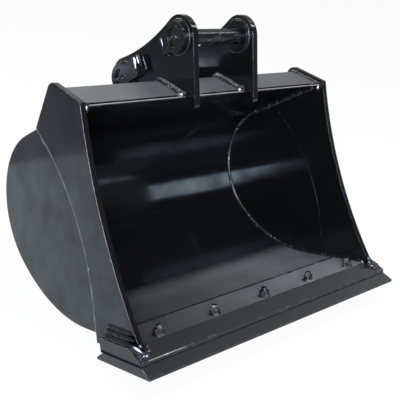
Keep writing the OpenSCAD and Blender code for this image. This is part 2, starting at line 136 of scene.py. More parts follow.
def on_roof(y):
    """Point of the roof's outer face at y."""
    return Vector((y, ROOF_OUT.y + (ROOF_OUT.x - y) * math.tan(math.radians(ROOF_SLOPE))))


# Corners and centres that follow from those sizes
BELLY_C = Vector((282, LIP_TOP + BELLY_R))
BACK_C = BELLY_C + (BELLY_R - BACK_R) * ray(BELLY_ARC - 90)
ROOF_UP = ray(90 - ROOF_SLOPE)
ROOF_RUN = ray(180 - ROOF_SLOPE)
ROOF_IN = BACK_C + BACK_R * ROOF_UP
ROOF_OUT = BACK_C + (BACK_R + WRAPPER_T) * ROOF_UP
NOTCH = on_roof(NOTCH_Y)
EAR_FOOT = on_roof(EAR_FOOT_Y)
BOX_UP = ray(HORN_SLOPE + 90)
BOX_RUN = ray(HORN_SLOPE)
BOX_REAR = ray(90 - HORN_BACK)
BOX_RISE = ray(180 - HORN_BACK)
BOX_TOP_LINE = MOUTH_TOP - BOX_INSET * BOX_UP
BOX_BACK_LINE = NOTCH - BOX_INSET * BOX_REAR
BOX_FRONT_TOP = BOX_TOP_LINE + (BOX_FRONT - BOX_TOP_LINE.x) / BOX_RUN.x * BOX_RUN
BOX_FOLD = meet(BOX_TOP_LINE, HORN_SLOPE, BOX_BACK_LINE, 180 - HORN_BACK)
BOX_FOOT = meet(BOX_BACK_LINE, 180 - HORN_BACK, ROOF_OUT, 180 - ROOF_SLOPE)
FOLD_ANGLE = 180 - HORN_SLOPE - HORN_BACK
FOLD_OUT = ray(90 + (HORN_SLOPE - HORN_BACK) / 2)
FOLD_C = BOX_FOLD - BOX_FOLD_R / math.sin(math.radians(FOLD_ANGLE / 2)) * FOLD_OUT
SEAM_RUN = NOTCH - Vector((SEAM_Y, SEAM_Z))
SEAM_R = SEAM_RUN.length_squared / (2 * SEAM_RUN.x)
SEAM_C = Vector((SEAM_Y + SEAM_R, SEAM_Z))
SEAM_END = math.degrees(math.atan2(NOTCH.y - SEAM_C.y, NOTCH.x - SEAM_C.x))
BEVEL_RUN = Vector((LIP_FLAT - LIP_FRONT, LIP_TOP - LIP_NOSE)).normalized()
BEVEL_UP = Vector((-BEVEL_RUN.y, BEVEL_RUN.x))
FOOT_ON_BEVEL = Vector((LIP_FRONT, LIP_NOSE)) + (MOUTH_FOOT - LIP_FRONT) / BEVEL_RUN.x * BEVEL_RUN
PIN_RUN = (REAR_PIN - FRONT_PIN).normalized()
PIN_UP = Vector((-PIN_RUN.y, PIN_RUN.x))

# The edge's underside gives the bucket's tilt at rest
EDGE_DOWN = Vector(MOUNTS["edge_underside"]["axis"])
TURN = Matrix.Rotation(math.atan2(EDGE_DOWN.y, -EDGE_DOWN.z), 3, "X")
MM = 0.001
SIDES = (-1, 1)
SIDE_NAMES = ("left", "right")

# Spans in x along the torque box, between its horns and the ears
BOX_SPANS = ((-WALL + 1, -EAR_OUT - 1), (-EAR_IN + 1, EAR_IN - 1), (EAR_OUT + 1, WALL - 1))

# Ways that blobs of weld metal lean, so that their crowns mirror the key lamp
BLOB_LEAN = (-0.65, -0.68, 0.33)
RIGHT_FOOT_LEAN = (-0.68, -0.6, 0.42)
STOP_LEAN = (-0.59, -0.756, 0.29)

# Length, width and crown of blobs at the ears' ends, the box's corners and the front stop
EAR_BLOB = (9, 9, 3)
CORNER_BLOB = (13, 8, 3)
STOP_BLOB = (20, 2.6, 0.6)


def place(x, p):
    """Point in the frame for x and a [y, z] point of the edge's plane."""
    return TURN @ Vector((x, p.x - FRONT_PIN.x, p.y - FRONT_PIN.y)) * MM


def along(x, v):
    """Vector in the frame for x and a [y, z] vector of the edge's plane."""
    return TURN @ Vector((x, v.x, v.y)) * MM


def sideways(x):
    """Vector in the frame along x."""
    return along(x, Vector((0, 0)))


def colour_prop(name, description, default):
    return bpy.props.FloatVectorProperty(
        name=name, description=description, subtype="COLOR", size=3, min=0, max=1, default=default)


def length_prop(name, description, default, low=0):
    return bpy.props.FloatProperty(
        name=name, description=description, unit="LENGTH", min=low, default=default)


def power_prop(name, description, default):
    return bpy.props.FloatProperty(
        name=name, description=description, unit="POWER", min=0, default=default)


class EnamelProps(bpy.types.PropertyGroup):
    """Colours and surface of the enamels."""
    gloss_colour: colour_prop("Gloss enamel", "Colour of the plates' enamel", (0.006, 0.006, 0.007))
    edge_colour: colour_prop(
        "Edge enamel", "Colour of the lip's and the edge's enamel", (0.01, 0.01, 0.011))
    pin_colour: colour_prop("Pin enamel", "Colour of the pins' enamel", (0.009, 0.009, 0.01))
    fastener_colour: colour_prop(
        "Fastener enamel", "Colour of the enamel on bolts and nuts", COLOUR_OF["fastener_enamel"])
    weld_colour: colour_prop("Weld enamel", "Colour of the enamel on the beads", COLOUR_OF["weld_enamel"])
    # The seams' enamel is paler than the plates', partly a painted highlight so the beads read as light
    # lines
    seam_colour: colour_prop(
        "Seam enamel", "Colour of the dulled enamel on the cheeks' seams", (0.09, 0.095, 0.1))
    # Pale grey of worn corners, which also stands in for the bright highlight lines along them
    corner_colour: colour_prop(
        "Worn corner", "Colour of the worn corners of box, lip and edge", (0.3, 0.3, 0.3))
    dust_colour: colour_prop("Dust", "Colour of the dust on the enamel", (0.225, 0.235, 0.25))
    gloss_tint: colour_prop("Gloss tint", "Tint of what the enamels reflect", (0.86, 0.93, 1.0))
    peel_depth: length_prop("Orange peel", "Height of the enamel's orange peel", 0.00003)
    wave_depth: length_prop("Plate waves", "Height of the slow waves in the plates", 0.0004)
    corner_round: length_prop("Corner radius", "Width of the rounding on the plates' edges", 0.0014)
    edge_round: length_prop("Edge radius", "Width of the rounding on the lip and the edge", 0.0022)


class BeadProps(bpy.types.PropertyGroup):
    """Shape of the weld beads."""
    pitch: length_prop("Ripple pitch", "Distance from one ripple to the next", 0.0055, 0.001)
    ripple: length_prop("Ripple height", "Height of the ripples", 0.001)
    crown: length_prop("Crown", "Height of the bead over the flat fillet", 0.0013)
    inner_leg: length_prop("Inner leg", "Leg of the fillets inside the bucket", 0.007, 0.002)
    ear_leg: length_prop("Ear leg", "Leg of the fillets at the ears", 0.012, 0.002)
    lip_leg: length_prop("Lip leg", "Leg of the fillets on the lip's ends", 0.017, 0.002)
    seam_leg: length_prop("Seam leg", "Leg of the fillets along the cheeks' seams", 0.009, 0.002)


class FastenerProps(bpy.types.PropertyGroup):
    """Threads of the plow bolts and corners of the fasteners."""
    thread_pitch: length_prop("Thread pitch", "Distance from one thread to the next", 0.002, 0.0005)
    thread_depth: length_prop("Thread depth", "Depth of the thread", 0.0006)
    corner_round: length_prop("Corner radius", "Width of the rounding on nuts and washers", 0.0006)


class StageProps(bpy.types.PropertyGroup):
    """Camera, floor and lamps."""
    camera_place: bpy.props.FloatVectorProperty(
        name="Camera place", description="Place of the camera", subtype="XYZ", unit="LENGTH", size=3,
        default=(-1.26284, -1.3439, 0.32199))
    camera_turn: bpy.props.FloatVectorProperty(
        name="Camera turn", description="Rotation of the camera", subtype="EULER", size=3,
        default=(math.radians(66.731), math.radians(-7.8127), math.radians(-40.8772)))
    focal_length: bpy.props.FloatProperty(
        name="Focal length", description="Focal length on a 36 mm sensor, in millimetres", min=10,
        default=63)
    floor_colour: colour_prop("Floor", "Colour of the floor", (0.93, 0.93, 0.93))
    fill: bpy.props.FloatProperty(
        name="Fill", description="Strength of the room's soft light", min=0, default=0.27)
    key_power: power_prop("Key power", "Power of the key lamp", 272)
    ceiling_power: power_prop("Ceiling power", "Power of the long lamp over the front", 52)
    ear_power: power_prop("Ear power", "Power of the small lamp over the ears", 16)
    rear_power: power_prop("Rear power", "Power of the lamp behind the bucket", 60)
    window_power: power_prop("Window power", "Power of the window that reflections show", 720)


def fed(tree, node, inputs):
    """Sets a node's inputs, or joins them to the sockets that are given for them."""
    for label, value in inputs.items():
        if isinstance(value, bpy.types.NodeSocket):
            tree.links.new(value, node.inputs[label])
        else:
            node.inputs[label].default_value = value


def added(tree, kind, inputs=None, **settings):
    """New shader node with its settings and inputs."""
    node = tree.nodes.new("ShaderNode" + kind)
    for label, value in settings.items():
        setattr(node, label, value)
    fed(tree, node, inputs or {})
    return node


def maths(tree, operation, a, b, clamp=False):
    return added(tree, "Math", {0: a, 1: b}, operation=operation, use_clamp=clamp).outputs[0]


def dotted(tree, a, b):
    return added(tree, "VectorMath", {0: a, 1: b}, operation="DOT_PRODUCT").outputs["Value"]


def noise_of(tree, vector, scale, detail, rough=0.5):
    inputs = {"Vector": vector, "Scale": scale, "Detail": detail, "Roughness": rough}
    return added(tree, "TexNoise", inputs).outputs["Fac"]


def eased(tree, value, low, high):
    inputs = {"Value": value, "From Min": low, "From Max": high}
    return added(tree, "MapRange", inputs, interpolation_type="SMOOTHSTEP").outputs["Result"]


def scaled(tree, value, factor, offset):
    """Value times factor, plus offset."""
    return maths(tree, "ADD", maths(tree, "MULTIPLY", value, factor), offset)


def axis_of(tree, vector, axis):
    return added(tree, "SeparateXYZ", {0: vector}).outputs[axis]


def orange_peel(group, where, given):
    """Height of the enamel's orange peel."""
    fine = maths(group, "MULTIPLY", noise_of(group, where, 620, 1), 0.4)
    return maths(group, "ADD", noise_of(group, where, 240, 1), fine)


def plate_waves(group, where, given):
    """Height of the slow waves that rolling and welding leave in a plate."""
    dents = maths(group, "MULTIPLY", noise_of(group, where, 17, 1), 0.12)
    return maths(group, "ADD", noise_of(group, where, 5.5, 1), dents)


def dust_and_shade_film(group, where, given):
    """Mask of clouds of dust that fell with the edge laid flat or at rest, thinned towards the left as
    painted shade.
    """
    normal = added(group, "NewGeometry").outputs["Normal"]
    facing = dotted(group, normal, TURN @ Vector((0, 0, 1)))
    # Painted shade: the dust thins towards the left along X, so the left of the lip and the belly reads
    # darker
    painted_shade_to_left = scaled(group, eased(group, axis_of(group, where, "X"), -0.5, 0.25), 0.85, 0.25)
    flat = maths(group, "MULTIPLY", eased(group, facing, 0.95, 0.998), painted_shade_to_left)
    upward = eased(group, axis_of(group, normal, "Z"), 0.95, 0.99)
    rest = maths(group, "MULTIPLY", upward, given["At Rest"])
    clouds = eased(group, noise_of(group, where, 7, 6, 0.6), 0.3, 0.7)
    grains = noise_of(group, where, 700, 2)
    mixed = maths(group, "MULTIPLY", scaled(group, clouds, 0.25, 0.75), scaled(group, grains, 0.7, 0.65))
    return maths(group, "MULTIPLY", mixed, maths(group, "MAXIMUM", flat, rest))


def edge_wear(group, where, given):
    """Mask of the places where the enamel has thinned on a corner."""
    rounded = added(group, "Bevel", {"Radius": given["Radius"]}, samples=4).outputs["Normal"]
    turned = dotted(group, rounded, added(group, "NewGeometry").outputs["Normal"])
    corner = eased(group, maths(group, "SUBTRACT", 1, turned), 0.01, 0.12)
    patches = eased(group, noise_of(group, where, 46, 5, 0.65), 0.46, 0.66)
    return maths(group, "MULTIPLY", corner, patches)


def rub_marks(group, where, given):
    """Mask of short scuffs that run along X."""
    drawn = added(group, "VectorMath", {0: where, 1: (0.28, 1, 1)}, operation="MULTIPLY").outputs[0]
    sized = added(group, "VectorMath", {0: drawn, "Scale": given["Size"]}, operation="SCALE").outputs[0]
    spots = eased(group, noise_of(group, sized, 3, 5, 0.7), 0.56, 0.66)
    fields = eased(group, noise_of(group, where, 21, 2), 0.42, 0.62)
    return maths(group, "MULTIPLY", spots, fields)


# Each shader group's effect, what it gives and its inputs, of which the first scales it
EFFECTS = {
    "Orange Peel": (orange_peel, "Height", {"Depth": 0.00003}),
    "Plate Waves": (plate_waves, "Height", {"Depth": 0.0006}),
    "Dust And Painted Shade": (dust_and_shade_film, "Mask", {"Amount": 0.3, "At Rest": 0.0}),
    "Edge Wear": (edge_wear, "Mask", {"Amount": 0.4, "Radius": 0.0025}),
    "Rub Marks": (rub_marks, "Mask", {"Amount": 0.4, "Size": 60}),
}


def new_group(name):
    """Shader group of an effect, with float inputs and one float output."""
    effect, output, inputs = EFFECTS[name]
    group = bpy.data.node_groups.new(name, "ShaderNodeTree")
    for label, value in inputs.items():
        socket = group.interface.new_socket(label, in_out="INPUT", socket_type="NodeSocketFloat")
        socket.default_value = value
    group.interface.new_socket(output, in_out="OUTPUT", socket_type="NodeSocketFloat")
    given = group.nodes.new("NodeGroupInput").outputs
    where = added(group, "TexCoord").outputs["Object"]
    shown = maths(group, "MULTIPLY", effect(group, where, given), given[0], output == "Mask")
    fed(group, group.nodes.new("NodeGroupOutput"), {0: shown})
    return group


def grouped(tree, name, **inputs):
    """Output of a shader group in tree, with some of its inputs set."""
    group = bpy.data.node_groups.get(name) or new_group(name)
    return added(tree, "Group", inputs, node_tree=group).outputs[0]


def blended(tree, mask, base, over):
    """Colour that goes from base to over with mask. base is a colour or a socket."""
    if isinstance(base, tuple):
        base = (*base, 1)
    inputs = {"Factor": mask, "A": base, "B": (*over, 1)}
    return added(tree, "Mix", inputs, data_type="RGBA").outputs["Result"]


def new_material(name):
    """New material with its node tree and its shader."""
    material = bpy.data.materials.new(name)
    material.use_nodes = True
    return material, material.node_tree, material.node_tree.nodes["Principled BSDF"]


def new_enamel(name, colour, rough, steel, peel=1.0, wave=0.0, dust=0.0, wear=0.0, rubs=0.0, at_rest=0.0,
               mottle=0.0, level=0.5):
    """Enamel with orange peel, plate waves, dust that thins to the left as painted shade, thinned corners,
    rub marks and uneven gloss.
    """
    props = bpy.context.scene.bucket_enamel
    material, tree, shader = new_material(name)
    where = added(tree, "TexCoord").outputs["Object"]
    dust_and_shade_mask = grouped(tree, "Dust And Painted Shade", **{"Amount": dust, "At Rest": at_rest})
    worn = grouped(tree, "Edge Wear", Amount=wear)
    bared = maths(tree, "MAXIMUM", worn, grouped(tree, "Rub Marks", Amount=rubs))
    shade = blended(tree, bared, tuple(getattr(props, colour + "_colour")), steel)
    haze = 0.06
    cloudy = maths(tree, "MULTIPLY", noise_of(tree, where, 14, 4, 0.6), haze)
    dulled = maths(tree, "MULTIPLY", maths(tree, "MAXIMUM", dust_and_shade_mask, bared), 0.5)
    if mottle:
        clouds = eased(tree, noise_of(tree, where, 11, 6, 0.65), 0.3, 0.7)
        level = scaled(tree, clouds, mottle, level - 0.55 * mottle)
    peeled = grouped(tree, "Orange Peel", Depth=props.peel_depth * peel)
    waved = grouped(tree, "Plate Waves", Depth=props.wave_depth * wave)
    height = maths(tree, "ADD", peeled, waved)
    bump = added(tree, "Bump", {"Strength": 1, "Distance": 1, "Height": height})
    fed(tree, shader, {
        "Base Color": blended(tree, dust_and_shade_mask, shade, tuple(props.dust_colour)),
        "Roughness": maths(tree, "ADD", maths(tree, "ADD", cloudy, dulled), rough - haze / 2),
        "IOR": 1.5,
        "Specular Tint": (*props.gloss_tint, 1),
        "Specular IOR Level": level,
        "Normal": bump.outputs["Normal"],
    })
    return material


# Each enamel's colour, roughness and bare steel, how deep its peel and waves are, how much dust (thinned to
# the left as painted shade), wear and rubs it shows, and the level of what it reflects
LOOKS = {
    "plate_enamel": dict(colour="gloss", rough=0.12, steel=(0.3, 0.3, 0.31), wave=1.5, dust=0.66, wear=0.35,
                         mottle=0.34),
    # Painted shade: a darker copy of the plates' enamel, with less dust and a lower level, for the left ear
    # and the bosses
    "shaded_ear_enamel": dict(colour="gloss", rough=0.12, steel=(0.3, 0.3, 0.31), wave=1.5, dust=0.3, wear=0.35,
                       level=0.33),
    "box_enamel": dict(colour="gloss", rough=0.2, steel=(0.5, 0.5, 0.5), wave=0.8, dust=0.46, wear=0.6,
                       at_rest=1.0),
    # Painted shadow: matte black for the strip that stands in for the shade in the joint of the lip's end
    # and the edge's end
    "joint_shadow_enamel": dict(colour="gloss", rough=0.9, steel=(0.02, 0.02, 0.02), peel=2.0, rubs=0.2,
                        level=0.05),
    "edge_bar_enamel": dict(colour="edge", rough=0.2, steel=(0.4, 0.4, 0.42), peel=1.3, wave=0.5, wear=0.35,
                            rubs=0.03),
    "lip_enamel": dict(colour="edge", rough=0.2, steel=(0.5, 0.5, 0.52), peel=1.3, wave=0.5, dust=0.82,
                       wear=0.5, rubs=0.03),
    "scuffed_pin_enamel": dict(colour="pin", rough=0.16, steel=(0.4, 0.4, 0.4), peel=3.0, wave=0.2,
                               dust=0.1, wear=0.3, rubs=0.25, level=0.36),
    # Pale steel on the fasteners' convex corners: wear, and partly a painted highlight on the studs' ends
    "highlit_worn_bolt_enamel": dict(colour="fastener", rough=0.2, steel=(0.75, 0.75, 0.77), peel=0.6, dust=0.05,
                        wear=1.0),
    "bead_enamel": dict(colour="weld", rough=0.14, steel=(0.5, 0.48, 0.43), peel=2.2, dust=0.12, rubs=0.15),
    "worn_bead_enamel": dict(colour="weld", rough=0.24, steel=(0.6, 0.59, 0.55), peel=2.2, dust=0.12,
                             rubs=1.6),
    "inner_bead_enamel": dict(colour="weld", rough=0.22, steel=(0.45, 0.46, 0.47), peel=2.2, dust=0.12,
                              rubs=0.8),
    "pass_enamel": dict(colour="weld", rough=0.2, steel=(0.3, 0.3, 0.3), peel=2.2, rubs=0.1, level=0.2),
    "lump_enamel": dict(colour="weld", rough=0.16, steel=(0.6, 0.58, 0.6), rubs=0.1),
    # Paler than the plates' enamel, partly a painted highlight along the seams
    "seam_highlight_enamel": dict(colour="seam", rough=0.24, steel=(0.3, 0.3, 0.3), peel=2.2, dust=0.12, rubs=0.2),
    # Pale worn steel on corners, partly a painted highlight along the lip's nose, the edge's ends and the
    # box's front corner
    "worn_and_highlight_enamel": dict(colour="corner", rough=0.3, steel=(0.85, 0.85, 0.84), peel=2.2, rubs=1.6),
}

# The enamel of each slot, and of the nodes that have another
SLOT_ENAMELS = {
    "gloss_enamel": "plate_enamel",
    "edge_enamel": "edge_bar_enamel",
    "pin_enamel": "scuffed_pin_enamel",
    "fastener_enamel": "highlit_worn_bolt_enamel",
    "weld_enamel": "bead_enamel",
}
BOSSES = ("left_front_boss", "right_front_boss", "left_rear_boss", "right_rear_boss")
OWN_ENAMELS = {
    "lip_plate": "lip_enamel",
    "torque_box_plate": "box_enamel",
    # The left ear and the bosses take the darker copy of the enamel as painted shade
    **dict.fromkeys(("left_ear", *BOSSES), "shaded_ear_enamel"),
}


def enamel(name):
    """Enamel from LOOKS, or the one made before."""
    return bpy.data.materials.get(name) or new_enamel(name, **LOOKS[name])


def dress(names, width):
    """Gives CAD nodes their enamel, and rounds their corners by width."""
    for name in names:
        node = frame["nodes"][name]
        node.data.materials.clear()
        node.data.materials.append(enamel(OWN_ENAMELS.get(name, SLOT_ENAMELS[SLOT_OF[name]])))
        round_corners(node, width)


def round_corners(obj, width):
    """Modifiers that round an object's sharp corners by width and keep its faces flat."""
    weld = obj.modifiers.new("merge", "WELD")
    weld.merge_threshold = 0.00001
    flat = obj.modifiers.new("flat faces", "DECIMATE")
    flat.decimate_type = "DISSOLVE"
    flat.angle_limit = math.radians(0.3)
    rounded = obj.modifiers.new("rounded corners", "BEVEL")
    rounded.width = width
    rounded.segments = 2
    rounded.limit_method = "ANGLE"
    rounded.angle_limit = math.radians(28)
    shading = obj.modifiers.new("shading", "WEIGHTED_NORMAL")
    shading.weight = 100
    shading.keep_sharp = False


def linked(name, data):
    """New object in the scene."""
    obj = bpy.data.objects.new(name, data)
    bpy.context.scene.collection.objects.link(obj)
    return obj


def meshed(name, bm):
    """New object in the scene from a bmesh, which is freed."""
    mesh = bpy.data.meshes.new(name)
    bm.to_mesh(mesh)
    bm.free()
    return linked(name, mesh)


def piece(name, bm, slot="weld_enamel", nodes=(), look=None):
    """Piece of the bucket's body from a bmesh, with its enamel and the nodes that it stands for."""
    bmesh.ops.recalc_face_normals(bm, faces=bm.faces)
    obj = meshed(name, bm)
    obj.data.materials.append(enamel(look or SLOT_ENAMELS[slot]))
    obj.data.shade_smooth()
    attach(obj, "bucket")
    if nodes:
        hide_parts(*nodes)
    return obj


def skin(bm, rings, closed=False):
    """Faces from ring to ring, with both ends capped unless the rings run in a circle."""
    pairs = list(zip(rings, rings[1:]))
    if closed:
        pairs.append((rings[-1], rings[0]))
    for near, far in pairs:
        for k in range(len(near)):
            m = (k + 1) % len(near)
            bm.faces.new((near[k], near[m], far[m], far[k]))
    if not closed:
        bm.faces.new(list(reversed(rings[0])))
        bm.faces.new(rings[-1])


def stations_on(path, step):
    """Distances and stations at even steps along a path, and the path's length.

    A station is a root and its two legs.
    """
    lengths = [0.0]
    for before, after in zip(path, path[1:]):
        lengths.append(lengths[-1] + (after[0] - before[0]).length)
    count = max(4, round(lengths[-1] / step))
    out = []
    k = 0
    for i in range(count + 1):
        s = lengths[-1] * i / count
        while k < len(path) - 2 and lengths[k + 1] < s:
            k += 1
        span = lengths[k + 1] - lengths[k]
        t = (s - lengths[k]) / span if span > 0 else 0
        out.append((s, [a.lerp(b, t) for a, b in zip(path[k], path[k + 1])]))
    return out, lengths[-1]


# Noise along a bead in waves per metre: how it wobbles and drifts, and its fine lumps
WOBBLE_RATE = 55
DRIFT_RATE = 160
LUMP_RATE = 210


def add_bead(bm, path, seed, closed=False, rough=1.0, coarse=1.0, swell=0.0, crown=1.0, taper=0.9):
    """Rippled bead along a path of roots and legs. Its ends taper unless it is closed."""
    props = bpy.context.scene.bucket_beads
    pitch = props.pitch * coarse
    across = 8
    sink = 0.0004
    stations, length = stations_on(path, pitch / 5)
    if closed:
        stations = stations[:-1]
    rings = []
    for s, (root, leg_a, leg_b) in stations:
        out = (leg_a.normalized() + leg_b.normalized()).normalized()
        wobble = noise.noise(Vector((s * WOBBLE_RATE, seed, 0.3)))
        drift = noise.noise(Vector((s * DRIFT_RATE, seed, 4.1)))
        size = 1 + rough * (0.13 * wobble + 0.05 * drift)
        dome = 1
        if not closed:
            end = min(1, max(0, min(s, length - s)) / (taper * leg_a.length))
            dome = math.sqrt(1 - (1 - end) ** 2)
            size *= max(0.1, dome) + swell * dome * (1 - end)
        ring = [bm.verts.new(root - out * sink * 3)]
        for k in range(across + 1):
            u = k / across
            hump = math.sin(math.pi * u)
            phase = s / pitch + 0.55 * hump + 0.12 * wobble + seed
            ripple = abs(math.sin(math.pi * phase)) ** 0.7
            lump = noise.noise(Vector((s * LUMP_RATE, u * 3, seed + 9.7)))
            base = root + (leg_a * (1 - u) + leg_b * u) * size - out * sink
            rise = dome * hump * props.crown * crown * coarse * (1 + 0.5 * wobble * rough)
            rise += math.sqrt(hump) * props.ripple * rough * coarse * (ripple - 0.4 + 0.5 * lump)
            ring.append(bm.verts.new(base + out * rise))
        rings.append(ring)
    skin(bm, rings, closed)


def add_blob(bm, centre, run, size, seed, lean=BLOB_LEAN):
    """Smooth blob of weld metal whose flat crown faces lean.

    size is its length, width and crown in millimetres.
    """
    out = Vector(lean).normalized()
    run = (run - out * run.dot(out)).normalized()
    across = out.cross(run)
    length, width, crown = [part * MM for part in size]
    for v in bmesh.ops.create_icosphere(bm, subdivisions=4, radius=1)["verts"]:
        lump = 1 + 0.08 * noise.noise(v.co * 2.2 + Vector((seed, 0, 0)))
        depth = crown if v.co.z > 0 else max(crown, width)
        v.co = centre + (run * length * v.co.x + across * width * v.co.y + out * depth * v.co.z) * lump


def plane_path(x, points, leg_x, leg_n):
    """Path of stations at one x from [point, normal] pairs of the edge's plane."""
    return [(place(x, p), sideways(leg_x), along(0, n * leg_n)) for p, n in points]


def arc_points(centre, radius, start, end, inward):
    """[point, normal] pairs along an arc, with normals to its centre or away from it."""
    count = max(2, math.ceil(abs(end - start) / 2))
    sign = -1 if inward else 1
    out = []
    for i in range(count + 1):
        d = ray(start + (end - start) * i / count)
        out.append((centre + radius * d, sign * d))
    return out


def over_box(start, leg):
    """[point, normal] pairs over the torque box, from a start on its top to one leg above its foot."""
    fold = arc_points(FOLD_C, BOX_FOLD_R, HORN_SLOPE + 90, 90 - HORN_BACK, False)
    return [(start, BOX_UP)] + fold + [(BOX_FOOT + leg * BOX_RISE, BOX_REAR)]


def cross_path(root, xs, leg_a, leg_b):
    """Path of stations across the bucket at x places, from a [y, z] root with two legs."""
    return [(place(x, root), along(0, leg_a), along(0, leg_b)) for x in xs]


class BUCKET_OT_plates(bpy.types.Operator):
    """Gives the rolled shell, the cheeks and the torque box their enamel"""
    bl_idname = "bucket.plates"
    bl_label = "Shell plates"

    def execute(self, context):
        width = context.scene.bucket_enamel.corner_round
        dress(["wrapper", "torque_box_plate", "left_cheek_plate", "left_side_plate"], width)
        dress(["right_cheek_plate", "right_side_plate"], width / 4)
        return {"FINISHED"}


def add_worn_highlight_end(bm, side):
    """Worn corner between the edge's front bevel and its end, painted pale as a highlight line."""
    inset = 1.2
    leg = 1.5
    run = Vector((EDGE_BEVEL, EDGE_T - EDGE_NOSE)).normalized()
    up = Vector((-run.y, run.x))
    path = []
    for p in (Vector((0, EDGE_NOSE)) + 2 * run, Vector((EDGE_BEVEL, EDGE_T)) - 2 * run):
        root = place(side * (EDGE_END - inset), p - inset * up)
        path.append((root, sideways(side * leg), along(0, leg * up)))
    add_bead(bm, path, 99.7 + side, rough=0.4, crown=0.3, taper=6)


def add_joint_shadow_strip(bm, side):
    """Dark strip in the joint between the lip's end and the edge's end, a painted shadow of the gap."""
    half_height = 3.2
    half_depth = 1.3
    short = 3
    for v in bmesh.ops.create_cube(bm, size=2)["verts"]:
        x = EDGE_END - 1 + half_depth * v.co.x
        y = (LIP_FRONT + LIP_REAR) / 2 + (LIP_REAR - LIP_FRONT - short) / 2 * v.co.y
        v.co = place(side * x, Vector((y, EDGE_T + half_height * v.co.z)))


class BUCKET_OT_edge(bpy.types.Operator):
    """Gives the lip and the bolt-on edge their enamel, pale worn corners that partly paint a highlight
    line, and a dark strip of painted shadow in their joint
    """
    bl_idname = "bucket.edge"
    bl_label = "Lip and bolt-on edge"

    def execute(self, context):
        dress(["lip_plate", "bolt_on_edge"], context.scene.bucket_enamel.edge_round)
        shadow_strip_mesh = bmesh.new()
        # Pale worn bead along the lip's nose, partly a painted highlight line
        worn = bmesh.new()
        inset = 1.2
        worn_length = 150
        nose = Vector((LIP_FRONT + inset, LIP_NOSE - inset))
        path = cross_path(nose, (-EDGE_END + 2, -EDGE_END + worn_length), Vector((-1.8, 0)), 2.4 * BEVEL_UP)
        add_bead(worn, path, 99.1, rough=0.4, crown=0.3, taper=30)
        for side in SIDES:
            add_joint_shadow_strip(shadow_strip_mesh, side)
            add_worn_highlight_end(worn, side)
        # Painted shadow: the dark strip stands in for the shade in the joint
        piece("joint_shadow_strip", shadow_strip_mesh, "edge_enamel", look="joint_shadow_enamel")
        piece("worn_highlight_edges", worn, "edge_enamel", look="worn_and_highlight_enamel")
        return {"FINISHED"}


def bolt_ring(bm, x, z, radii, turn=0.0):
    """Ring about a bolt's axis at z, with one radius for each step round it."""
    out = []
    for j, r in enumerate(radii):
        angle = 2 * math.pi * j / len(radii) + turn
        p = Vector((BOLT_Y + r * math.sin(angle), z))
        out.append(bm.verts.new(place(x + r * math.cos(angle), p)))
    return out


def add_nut(bm, x, turn):
    """Hexagonal nut with one face turned to an angle and its corners turned off at the top."""
    steps = 48
    sector = math.pi / 6
    corner = NUT_AF / 2 / math.cos(sector)
    bevel = corner - NUT_AF / 2
    rings = []
    for drop in (NUT_H, bevel, 0.75 * bevel, 0.5 * bevel, 0.25 * bevel, 0):
        radii = []
        for j in range(steps):
            face = NUT_AF / 2 / math.cos((2 * math.pi * j / steps + sector) % (2 * sector) - sector)
            radii.append(min(face, corner - 1.2 * bevel + 2 * drop))
        rings.append(bolt_ring(bm, x, NUT_Z + NUT_H - drop, radii, turn))
    skin(bm, rings)


def add_bolt(bm, x, turn, pitch, depth):
    """Countersunk head, square neck and a helical thread."""
    steps = 36
    chamfer = 1.2
    rim = 0.8
    head_h = 8
    neck_foot = 4
    thread_start = NUT_Z - 12
    length = STUD_Z - thread_start
    rings = []
    for z, r in ((BOLT_RECESS, BOLT_HEAD_R - rim), (BOLT_RECESS + rim, BOLT_HEAD_R),
                 (BOLT_RECESS + head_h, BOLT_R), (thread_start, BOLT_R)):
        rings.append(bolt_ring(bm, x, z, [r] * steps))
    count = round(length / pitch * 8)
    for k in range(1, count + 1):
        z = thread_start + length * k / count
        runout = min(1, (z - thread_start) / pitch)
        tip = BOLT_R - max(0, z - STUD_Z + chamfer) * 1.2
        radii = []
        for j in range(steps):
            lead = (z / pitch - j / steps + turn) % 1
            groove = max(0, min(1, 1.6 * abs(2 * lead - 1) - 0.25))
            radii.append(min(BOLT_R - depth * groove * runout, tip))
        rings.append(bolt_ring(bm, x, z, radii))
    skin(bm, rings)
    neck = []
    for z in (BOLT_RECESS + neck_foot, EDGE_T - 1):
        square = []
        for dx, dy in ((-1, -1), (1, -1), (1, 1), (-1, 1)):
            square.append(bm.verts.new(place(x + dx * BOLT_R, Vector((BOLT_Y + dy * BOLT_R, z)))))
        neck.append(square)
    skin(bm, neck)


class BUCKET_OT_fasteners(bpy.types.Operator):
    """Dresses washers, retainer bolts and nipples, and makes threaded plow bolts and turned nuts"""
    bl_idname = "bucket.fasteners"
    bl_label = "Bolts, nuts and nipples"

    def execute(self, context):
        props = context.scene.bucket_fasteners
        dress(["edge_washers"], 2 * props.corner_round)
        names = ["front_retainer_bolt", "rear_retainer_bolt", "front_grease_nipple", "rear_grease_nipple"]
        dress(names, props.corner_round)
        bolts = bmesh.new()
        nuts = bmesh.new()
        for i, turn in enumerate(NUT_TURNS):
            x = (i - (len(NUT_TURNS) - 1) / 2) * BOLT_PITCH
            add_bolt(bolts, x, i * 0.37, props.thread_pitch / MM, props.thread_depth / MM)
            add_nut(nuts, x, math.radians(turn))
        piece("threaded_plow_bolts", bolts, "fastener_enamel", nodes=["plow_bolts"])
        turned = piece("turned_nuts", nuts, "fastener_enamel", nodes=["edge_nuts"])
        round_corners(turned, props.corner_round)
        return {"FINISHED"}


